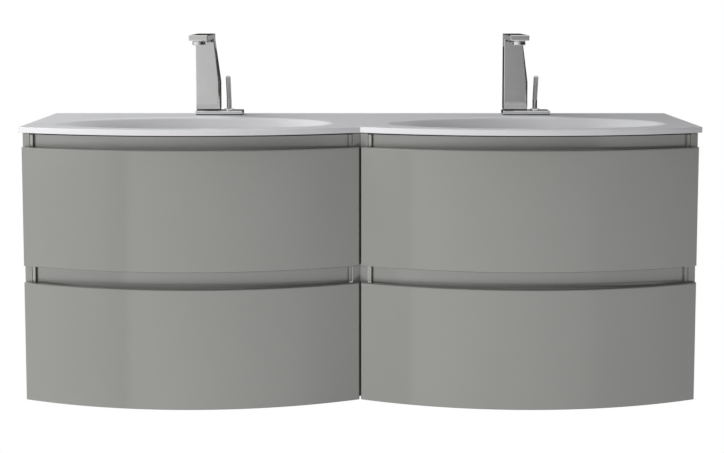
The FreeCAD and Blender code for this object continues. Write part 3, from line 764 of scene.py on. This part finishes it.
class VANITY_OT_basin(bpy.types.Operator):
    """Make the cast double basin"""
    bl_idname = "vanity.basin"
    bl_label = "Basin"

    def execute(self, context):
        bm = bmesh.new()
        decks = []
        undersides = []
        for end in SIDES:
            x = side_sign(end) * BOWL_X
            inside = self.bowl_inside(bm, x)
            outside = self.bowl_outside(bm, x)
            skinned(bm, inside + outside[::-1])
            tap_x = side_sign(end) * UNIT_X
            hole_top = self.circle(bm, tap_x, TAP_AXIS_Y, BASIN_TOP, basin().tap_hole)
            hole_foot = self.circle(bm, tap_x, TAP_AXIS_Y, 0, basin().tap_hole)
            skinned(bm, [hole_top, hole_foot])
            decks += inside[0] + hole_top
            undersides += outside[0] + hole_foot
        rim = self.rim(bm)
        skinned(bm, rim)
        bmesh.ops.triangle_fill(bm, edges=decks + rim[-1], use_beauty=True)
        bmesh.ops.triangle_fill(bm, edges=undersides + rim[0], use_beauty=True)
        bmesh.ops.recalc_face_normals(bm, faces=bm.faces)
        finish = gel_coat("basin_gel_coat", colours().gel_coat)
        made("cast_basin", bm, finish, "cabinet", ["basin"])
        return {"FINISHED"}

    def circle(self, bm, x, y, z, radius):
        verts = bmesh.ops.create_circle(bm, cap_ends=False, segments=BOWL_SEGMENTS, radius=radius)["verts"]
        bmesh.ops.translate(bm, vec=(x, y, z), verts=verts)
        return loop_edges(verts)

    def egg(self, bm, x, z, scale, growth):
        """Bowl outline at one height: two half ellipses that share the widest line."""
        size = basin()
        step = min(1.0, (BASIN_TOP - z) / size.depth)
        widest = -size.widest + (DRAIN_Y + size.widest) * step
        ahead = (size.front - size.widest) * scale + growth
        behind = (size.widest - size.back) * scale + growth
        verts = bmesh.ops.create_circle(bm, cap_ends=False, segments=BOWL_SEGMENTS, radius=1.0)["verts"]
        edges = loop_edges(verts)
        bmesh.ops.scale(bm, vec=(size.half_width * scale + growth, 1, 1), verts=verts)
        bmesh.ops.scale(bm, vec=(1, ahead, 1), verts=[vert for vert in verts if vert.co.y < 0])
        bmesh.ops.scale(bm, vec=(1, behind, 1), verts=[vert for vert in verts if vert.co.y > 0])
        bmesh.ops.translate(bm, vec=(x, widest, z), verts=verts)
        return edges

    def bowl_scale(self, step):
        """Width of the bowl at a share of its depth, against its width at the lip."""
        return BOWL_FLOOR + BOWL_SPREAD * (1 - step ** BOWL_FALL) ** BOWL_ROUND

    def bowl_inside(self, bm, x):
        """Edge loops from the lip down to the waste's seat."""
        size = basin()
        floor = BASIN_TOP - size.depth
        rings = []
        for share in shares(LIP_RINGS):
            rings.append(self.egg(bm, x, BASIN_TOP - size.lip_drop * share ** 2, 1.0, -size.lip * share))
        for share in shares(INSIDE_RINGS)[1:]:
            step = 1 - (1 - share) ** 2
            z = BASIN_TOP - size.lip_drop - (size.depth - size.lip_drop) * step
            rings.append(self.egg(bm, x, z, self.bowl_scale(step), 0))
        fall = size.seat_fall
        seat = size.seat_radius
        for radius, drop in ((seat + fall, fall), (seat, 2 * fall), (seat, size.seat_depth),
                             (size.drain_radius, size.seat_depth + fall)):
            rings.append(self.circle(bm, x, DRAIN_Y, floor - drop, radius))
        return rings

    def bowl_outside(self, bm, x):
        """Edge loops from the slab's underside down to the drain."""
        size = basin()
        fall = size.depth - size.lip_drop + size.wall
        first = (BASIN_TOP - size.lip_drop) / fall
        rings = []
        for share in shares(OUTSIDE_RINGS):
            step = first + (1 - first) * (1 - (1 - share) ** 2)
            z = BASIN_TOP - size.lip_drop - fall * step
            rings.append(self.egg(bm, x, z, self.bowl_scale(step), size.wall))
        foot = BASIN_TOP - size.depth - size.wall + size.seat_fall
        rings.append(self.circle(bm, x, DRAIN_Y, foot, size.drain_radius))
        return rings

    def rim(self, bm):
        """Edge loops up the slab's edge, from its underside to its deck."""
        size = basin()
        loops = [(size.foot_round, 0), (0, size.foot_round)]
        for share in shares(RIM_RINGS):
            angle = math.pi / 2 * share
            loops.append((size.edge_round * (1 - math.cos(angle)),
                          BASIN_TOP - size.edge_round * (1 - math.sin(angle))))
        return [self.slab_loop(bm, inset, z) for inset, z in loops]

    def slab_loop(self, bm, inset, z):
        """The slab's outline, drawn in by an inset at its front and sides."""
        rise = -basin().corner_depth - BASIN_LOW.y
        full = (BOWL_X ** 2 + rise ** 2) / (2 * rise)
        centre = Vector((-BOWL_X, BASIN_LOW.y + full, z))
        radius = full - inset
        outer = math.asin((BOWL_X - inset) / radius)
        notch = math.asin(BOWL_X / radius)
        corner = bm.verts.new(centre + radius * Vector((-math.sin(outer), -math.cos(outer), 0)))
        bmesh.ops.spin(bm, geom=[corner], cent=centre, axis=UP, angle=outer + notch, steps=SLAB_STEPS)
        bow = self.walk(corner)
        wall = bm.verts.new((corner.co.x, 0, z))
        middle = bm.verts.new((0, 0, z))
        bm.edges.new((corner, wall))
        bm.edges.new((wall, middle))
        half = bow + [wall, middle]
        copy = bmesh.ops.mirror(bm, geom=half + loop_edges(half), axis="X", merge_dist=-1)
        verts = half + moved(copy["geom"])
        seam = [vert for vert in verts if abs(vert.co.x) < NEAR]
        bmesh.ops.remove_doubles(bm, verts=seam, dist=SEAM)
        return loop_edges([vert for vert in verts if vert.is_valid])

    def walk(self, first):
        """The open row of vertices that starts at one of them."""
        row = [first]
        while True:
            ahead = [edge.other_vert(row[-1]) for edge in row[-1].link_edges]
            ahead = [vert for vert in ahead if vert not in row]
            if not ahead:
                return row
            row.append(ahead[0])


class VANITY_OT_wastes(bpy.types.Operator):
    """Make the plugs and dress the wastes and bottle traps"""
    bl_idname = "vanity.wastes"
    bl_label = "Wastes"

    def execute(self, context):
        chrome = plating("trap_chrome", colours().chrome, roughness=0.08)
        for end in SIDES:
            self.plug(end, chrome)
        dress(chrome, "waste_bodies", "bottle_traps", "trap_cups", "trap_outlets", "trap_nuts")
        dress(plating("raw_brass", colours().brass, roughness=0.25), "tap_shanks", "tap_nuts", "waste_nuts")
        return {"FINISHED"}

    def plug(self, end, finish):
        """Domed cap on a stem."""
        node = end + "_plug"
        low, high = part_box(node)
        radius = (high.x - low.x) / 2
        stem = basin().plug_stem
        dome = basin().plug_dome
        foot = high.z - basin().plug_thickness
        profile = [(radius * share, high.z - dome * share ** 2) for share in DOME_SHARES]
        profile += [(radius, high.z - 2 * dome), (radius, foot), (stem, foot), (stem, low.z), (0, low.z)]
        bm = bmesh.new()
        turned(bm, Vector(((low.x + high.x) / 2, DRAIN_Y, 0)), profile)
        tidy_corners(bm, basin().plug_round, segments=2)
        made(end + "_push_plug", bm, finish, end + "_stopper", [node])


class VANITY_OT_taps(bpy.types.Operator):
    """Make the mixer taps"""
    bl_idname = "vanity.taps"
    bl_label = "Taps"

    def execute(self, context):
        chrome = plating("tap_chrome", colours().chrome, roughness=0.06)
        # A darker copy of the chrome paints shade on the levers.
        shade_tinted_plating = plating("lever_chrome", colours().lever, roughness=0.06)
        # Black rubber of the seals, whose black also paints the shadow lines under the plates and columns, and
        # of the jet inserts.
        rubber = moulded("gasket_rubber", colours().gasket, roughness=0.6)
        for end in SIDES:
            self.body(end, chrome)
            self.plate(end, chrome)
            self.gasket(end, rubber)
            self.collar(end, chrome)
            self.lever(end, shade_tinted_plating)
            self.foot_shade_seal(end, rubber)
        self.aerators(chrome)
        self.aerator_inserts(rubber)
        return {"FINISHED"}

    def body(self, end, finish):
        """Tapering column drawn from the front, with the flat spout pulled out of its head."""
        node = end + "_tap_body"
        low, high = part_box(node)
        size = taps()
        back = TAP_AXIS_Y + size.column_width / 2
        front = TAP_AXIS_Y - size.column_width / 2
        spout_foot = high.z - size.spout_thickness
        shoulder = BASIN_TOP + size.shoulder
        head_right = high.x - size.top_taper
        levels = ((low.z + size.foot_shade_gap, high.x), (shoulder, high.x),
                  (spout_foot, head_right), (high.z, head_right))
        bm = bmesh.new()
        rows = [[bm.verts.new((x, back, z)) for x in (low.x, right)] for z, right in levels]
        faces = [bm.faces.new(lower + upper[::-1]) for lower, upper in zip(rows, rows[1:])]
        column = bmesh.ops.extrude_face_region(bm, geom=faces, use_keep_orig=True)["geom"]
        bmesh.ops.translate(bm, vec=(0, front - back, 0), verts=moved(column))
        head = [item for item in column
                if isinstance(item, bmesh.types.BMFace) and item.calc_center_median().z > spout_foot]
        spout = bmesh.ops.extrude_face_region(bm, geom=head)["geom"]
        bmesh.ops.translate(bm, vec=(0, low.y - front, 0), verts=moved(spout))
        bmesh.ops.recalc_face_normals(bm, faces=bm.faces)
        throat = Vector((0, front, spout_foot))
        in_throat = lambda edge: all((vert.co - throat).yz.length < NEAR for vert in edge.verts)
        tidy_corners(bm, size.throat, segments=7, wanted=in_throat)
        tidy_corners(bm, size.edge_round, segments=4)
        for vert in bm.verts:
            if vert.co.x > high.x - size.edge_round - NEAR and vert.co.z < shoulder + size.edge_round:
                self.widen(vert, high.x, front, 1)
                self.widen(vert, high.x, back, -1)
        foot = min(bm.faces, key=lambda face: face.calc_center_median().z)
        # Recess at the column's foot for the black ring of painted shadow.
        bmesh.ops.inset_region(bm, faces=[foot], thickness=size.foot_shade_gap / 2)
        neck = bmesh.ops.extrude_face_region(bm, geom=[foot])["geom"]
        bmesh.ops.translate(bm, vec=(0, 0, -size.foot_shade_gap), verts=moved(neck))
        made(end + "_tap_column", bm, finish, "cabinet", [node])

    def widen(self, vert, right, edge_y, inward):
        """Moves a vertex of a rounded upright edge out to a larger rounding."""
        small = taps().edge_round
        large = taps().side_round
        if inward * (vert.co.y - edge_y) < small + NEAR:
            vert.co.x = right - large + (vert.co.x - right + small) * large / small
            vert.co.y = edge_y + inward * large + (vert.co.y - edge_y - inward * small) * large / small

    def rounded_block(self, low, high, corner):
        """Box with rounded upright edges."""
        bm = bmesh.new()
        block(bm, low, high)
        upright = lambda edge: abs(edge.verts[0].co.z - edge.verts[1].co.z) > NEAR
        tidy_corners(bm, corner, segments=5, wanted=upright)
        return bm

    def plate(self, end, finish):
        """Base plate with rounded corners."""
        node = end + "_tap_base"
        low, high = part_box(node)
        size = taps()
        bm = self.rounded_block(low + UP * size.gasket, high, size.plate_corner)
        upper = lambda edge: min(vert.co.z for vert in edge.verts) > high.z - NEAR
        tidy_corners(bm, size.plate_round, segments=4, wanted=upper)
        tidy_corners(bm, size.gasket / 3, segments=2, angle=60)
        made(end + "_tap_plate", bm, finish, "cabinet", [node])

    def gasket(self, end, finish):
        """Black rubber seal set back a little under the base plate; its black also paints the contact shadow
        line under the plate.
        """
        low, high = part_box(end + "_tap_base")
        size = taps()
        inset = Vector((size.gasket / 3, size.gasket / 3, 0))
        top = Vector((high.x, high.y, low.z + size.gasket))
        bm = self.rounded_block(low + inset, top - inset, size.plate_corner)
        tidy_corners(bm, size.gasket / 6, segments=2, angle=60)
        made(end + "_tap_gasket", bm, finish, "cabinet")

    def foot_shade_seal(self, end, finish):
        """Black ring in the recess at the column's foot; its black paints the shadow line under the column."""
        low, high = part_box(end + "_tap_body")
        size = taps()
        inset = size.foot_shade_gap / 3
        half = size.column_width / 2 - inset
        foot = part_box(end + "_tap_base")[1].z
        bm = self.rounded_block(Vector((low.x + inset, TAP_AXIS_Y - half, foot)),
                                Vector((high.x - inset, TAP_AXIS_Y + half, foot + size.foot_shade_gap)),
                                size.edge_round)
        made(end + "_tap_foot_seal", bm, finish, "cabinet")

    def collar(self, end, finish):
        """Low domed ring round the lever's ball."""
        node = end + "_lever_collar"
        low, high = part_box(node)
        size = taps()
        radius = (high.x - low.x) / 2
        height = high.z - low.z
        mouth = size.collar_mouth
        profile = [(mouth - size.collar_foot, low.z), (radius, low.z), (radius, low.z + height / 3)]
        for share in shares(COLLAR_RINGS)[1:]:
            angle = math.pi / 2 * share
            profile.append((mouth + (radius - mouth) * math.cos(angle),
                            low.z + height * (1 + 2 * math.sin(angle)) / 3))
        profile.append((mouth - size.collar_lip, high.z - height / 6))
        bm = bmesh.new()
        turned(bm, Vector(((low.x + high.x) / 2, TAP_AXIS_Y, 0)), profile, closed=True)
        tidy_corners(bm, size.collar_round, segments=2, angle=50)
        made(end + "_swivel_ring", bm, finish, end + "_collar", [node])

    def lever(self, end, finish):
        """Ball, upright stub, bend and stick, drawn as one skin from the ball up."""
        node = end + "_lever"
        low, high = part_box(node)
        size = taps()
        ball = size.ball_radius
        stick = size.lever_radius
        centre = Vector(((low.x + high.x) / 2, TAP_AXIS_Y, low.z + ball))
        last = math.acos(stick / ball)
        angles = [-math.pi / 2 + (last + math.pi / 2) * share for share in shares(BALL_RINGS)]
        profile = [(ball * math.cos(angle), ball * math.sin(angle)) for angle in angles]
        bm = bmesh.new()
        turned(bm, centre, profile + [(stick, size.lever_stub)], steps=SMALL_STEPS)
        rim = [edge for edge in bm.edges if edge.is_boundary]
        pivot = centre + Vector((0, -size.lever_bend, size.lever_stub))
        bend = bmesh.ops.spin(bm, geom=rim, cent=pivot, axis=(1, 0, 0), angle=size.lever_lean,
                              steps=BEND_STEPS)
        rim = [item for item in bend["geom_last"] if isinstance(item, bmesh.types.BMEdge)]
        straight = bmesh.ops.extrude_edge_only(bm, edges=rim)["geom"]
        ahead = Vector((0, -math.sin(size.lever_lean), math.cos(size.lever_lean)))
        bmesh.ops.translate(bm, vec=ahead * size.lever_reach, verts=moved(straight))
        bmesh.ops.holes_fill(bm, edges=[edge for edge in bm.edges if edge.is_boundary])
        bmesh.ops.recalc_face_normals(bm, faces=bm.faces)
        tidy_corners(bm, size.tip_round, segments=4, angle=60)
        made(end + "_stick_lever", bm, finish, end + "_stick", [node])

    def aerator_places(self):
        """Middles of both aerators, their radius, foot and top."""
        low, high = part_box("aerators")
        radius = (high.y - low.y) / 2
        middles = [Vector((x, low.y + radius, 0)) for x in (low.x + radius, high.x - radius)]
        return middles, radius, low.z, high.z

    def aerators(self, finish):
        """Screw-in housings under the spouts, with a flat band and a rolled foot."""
        middles, radius, foot, top = self.aerator_places()
        wall = taps().aerator_wall
        inner = radius - wall
        neck = radius - wall / 3
        profile = [(0, top), (neck, top), (neck, top - wall / 2), (radius, top - wall * 0.7),
                   (radius, foot + wall / 3), (neck, foot), (inner, foot), (inner, top - wall),
                   (0, top - wall)]
        bm = bmesh.new()
        for middle in middles:
            turned(bm, middle, profile)
        tidy_corners(bm, wall / 12, segments=2)
        made("aerator_housings", bm, finish, "cabinet", ["aerators"])

    def aerator_inserts(self, finish):
        """Rings and spokes that break up the jet."""
        middles, radius, foot, _ = self.aerator_places()
        wall = taps().aerator_wall
        reach = radius - wall * 1.05
        low = foot + wall / 2
        high = low + wall / 2
        bm = bmesh.new()
        for middle in middles:
            for share in INSERT_RINGS:
                outer = reach * share
                inner = outer - reach * INSERT_LINE
                profile = [(inner, low), (outer, low), (outer, high), (inner, high)]
                turned(bm, middle, profile, closed=True, steps=SMALL_STEPS)
            for count in range(SPOKES):
                spoke = block(bm, middle + Vector((-reach * SPOKE_REACH, -wall / 12, low + wall / 12)),
                              middle + Vector((reach * SPOKE_REACH, wall / 12, low + wall / 2.4)))
                aside = Matrix.Rotation(math.pi * count / SPOKES, 3, "Z")
                bmesh.ops.rotate(bm, cent=middle, matrix=aside, verts=spoke)
        tidy_corners(bm, wall / 24, segments=1, angle=60)
        made("aerator_inserts", bm, finish, "cabinet")


class VANITY_OT_stage(bpy.types.Operator):
    """Set the camera, lamps, world, floor and cards"""
    bl_idname = "vanity.stage"
    bl_label = "Studio"

    def execute(self, context):
        scene = context.scene
        choice = studio()
        scene.view_settings.view_transform = "Standard"
        lens = bpy.data.cameras.new("camera")
        lens.lens = choice.lens
        lens.sensor_width = SENSOR
        lens.shift_x = choice.shift_across
        lens.shift_y = choice.shift_up
        camera = bpy.data.objects.new("camera", lens)
        camera.location = (0, -choice.camera_distance, choice.camera_height)
        camera.rotation_euler = (math.pi / 2 - choice.camera_tilt, 0, 0)
        scene.collection.objects.link(camera)
        scene.camera = camera
        for name in ("key", "top"):
            self.lamp(choice, name)
        self.world(choice)
        self.floor(choice)
        self.cards(choice)
        return {"FINISHED"}

    def lamp(self, choice, name):
        """Soft box aimed at the middle of the fronts, from a turn to the left and a rise above them."""
        aside, rise, distance = (getattr(choice, name + part) for part in ("_turn", "_rise", "_distance"))
        target = Vector((0, FRONT_LOW.y, FRONT_LOW.z))
        away = Vector((-math.sin(aside) * math.cos(rise), -math.cos(aside) * math.cos(rise), math.sin(rise)))
        lamp = bpy.data.lights.new(name, "AREA")
        lamp.size = getattr(choice, name + "_size")
        lamp.energy = getattr(choice, name + "_power")
        holder = bpy.data.objects.new(name, lamp)
        holder.location = target + away * distance
        holder.rotation_euler = away.to_track_quat("Z", "Y").to_euler()
        holder.visible_glossy = False
        bpy.context.scene.collection.objects.link(holder)

    def world(self, choice):
        """White to the camera and in reflections, and an even dim light on the object."""
        world = bpy.data.worlds.new("studio")
        bpy.context.scene.world = world
        finish = Finish(world)
        seen = finish.add("ShaderNodeLightPath", output="Is Camera Ray")
        for ray in ("Is Glossy Ray", "Is Transmission Ray"):
            seen = seen + finish.add("ShaderNodeLightPath", output=ray)
        background = finish.tree.nodes["Background"].inputs
        background["Color"].default_value = (1, 1, 1, 1)
        finish.join(background["Strength"], finish.range(seen, 0.0, 1.0, choice.ambient, 1.0))

    def sheet(self, name, size, matrix, material):
        """Flat rectangle of the set."""
        bm = bmesh.new()
        bmesh.ops.create_grid(bm, x_segments=1, y_segments=1, size=0.5)
        bmesh.ops.scale(bm, vec=(size[0], size[1], 1.0), verts=bm.verts)
        bmesh.ops.transform(bm, matrix=matrix, verts=bm.verts)
        mesh = bpy.data.meshes.new(name)
        bm.to_mesh(mesh)
        bm.free()
        mesh.materials.append(material)
        sheet = bpy.data.objects.new(name, mesh)
        bpy.context.scene.collection.objects.link(sheet)
        return sheet

    def floor(self, choice):
        """Pale floor that fades into the white round it."""
        finish = Surface("pale_floor", roughness=0.8, specular_ior_level=0.2)
        finish.tone(finish.noise(scale=3.0, detail=3.0), choice.floor_colour, dark=0.985, light=1.015)
        across, depth = finish.along("X"), finish.along("Y")
        width, reach, fade = choice.floor_width, choice.floor_depth, choice.floor_fade
        left = finish.range(across, -width / 2, -width / 2 + fade, 0.0, 1.0)
        right = finish.range(across, width / 2 - fade, width / 2, 1.0, 0.0)
        front = finish.range(depth, -reach, -reach + fade, 0.0, 1.0)
        back = finish.range(depth, -fade / 4, 0.0, 1.0, 0.0)
        finish.join(finish.sockets["Alpha"], left * right * front * back * choice.floor_veil)
        centre = Matrix.Translation((0, -reach / 2, CAD_BOX[0].z - choice.floor_drop))
        self.sheet("floor", (width, reach), centre, finish.owner)

    def cards(self, choice):
        """Cards that show only in reflections; the low ones are those that the fronts mirror."""
        upright = Matrix.Rotation(math.pi / 2, 4, "X")
        sideways = Matrix.Rotation(math.pi / 2, 4, "Z") @ upright
        behind = -choice.camera_distance - CARD_SET_BACK
        for name, size, centre, facing, *tones in (
                ("front_card", (7.0, 2.4), (0.6, behind, 0.8), upright, choice.card_left, choice.card_right),
                ("front_low_card", (7.0, 2.2), (0.6, behind, -1.5), upright, choice.low_front),
                ("left_low_card", (4.6, 2.2), (-2.0, -1.2, -1.35), sideways, choice.low_left),
                ("right_card", (4.6, 1.0), (2.0, -1.2, 0.35), sideways, choice.side_tone),
                ("right_low_card", (4.6, 2.2), (2.0, -1.2, -1.22), sideways, choice.low_right),
                ("back_card", (4.4, 0.75), (0, 0.8, 0.125), upright, choice.back_tone),
                ("back_strip", (0.56, 0.05), (0, 0.79, 0.165), upright, choice.strip_tone)):
            finish = Finish(bpy.data.materials.new(name))
            tone = finish.range(finish.along("X"), -CARD_SPAN, CARD_SPAN, tones[0], tones[-1])
            grey = finish.add("ShaderNodeCombineColor", None, {0: tone, 1: tone, 2: tone})
            glow = finish.add("ShaderNodeEmission", None, {"Color": grey})
            finish.join(finish.tree.nodes["Material Output"].inputs["Surface"], glow)
            card = self.sheet(name, size, Matrix.Translation(centre) @ facing, finish.owner)
            card.visible_camera = False
            card.visible_diffuse = False
            card.visible_shadow = False


class VANITY_PT_panel(bpy.types.Panel):
    """Sidebar panel that lists the vanity's steps and settings"""
    bl_label = "Vanity"
    bl_space_type = "VIEW_3D"
    bl_region_type = "UI"
    bl_category = "Vanity"

    def draw(self, context):
        for operator in OPERATORS:
            self.layout.operator(operator.bl_idname)
        for name in GROUPS:
            group = getattr(context.scene, name)
            for prop in group.__annotations__:
                self.layout.prop(group, prop)


GROUPS = {"vanity_colours": VanityColours, "vanity_cabinet": VanityCabinet, "vanity_basin": VanityBasin,
          "vanity_taps": VanityTaps, "vanity_studio": VanityStudio}
OPERATORS = (VANITY_OT_carcasses, VANITY_OT_channels, VANITY_OT_fronts, VANITY_OT_drawers, VANITY_OT_basin,
             VANITY_OT_wastes, VANITY_OT_taps, VANITY_OT_stage)
CLASSES = tuple(GROUPS.values()) + OPERATORS + (VANITY_PT_panel,)


def register():
    for kind in CLASSES:
        bpy.utils.register_class(kind)
    for name, kind in GROUPS.items():
        setattr(bpy.types.Scene, name, bpy.props.PointerProperty(type=kind))


def unregister():
    for name in GROUPS:
        delattr(bpy.types.Scene, name)
    for kind in reversed(CLASSES):
        bpy.utils.unregister_class(kind)


def main():
    register()
    bpy.ops.vanity.carcasses()
    bpy.ops.vanity.channels()
    bpy.ops.vanity.fronts()
    bpy.ops.vanity.drawers()
    bpy.ops.vanity.basin()
    bpy.ops.vanity.wastes()
    bpy.ops.vanity.taps()
    bpy.ops.vanity.stage()


if __name__ == "__main__":
    main()
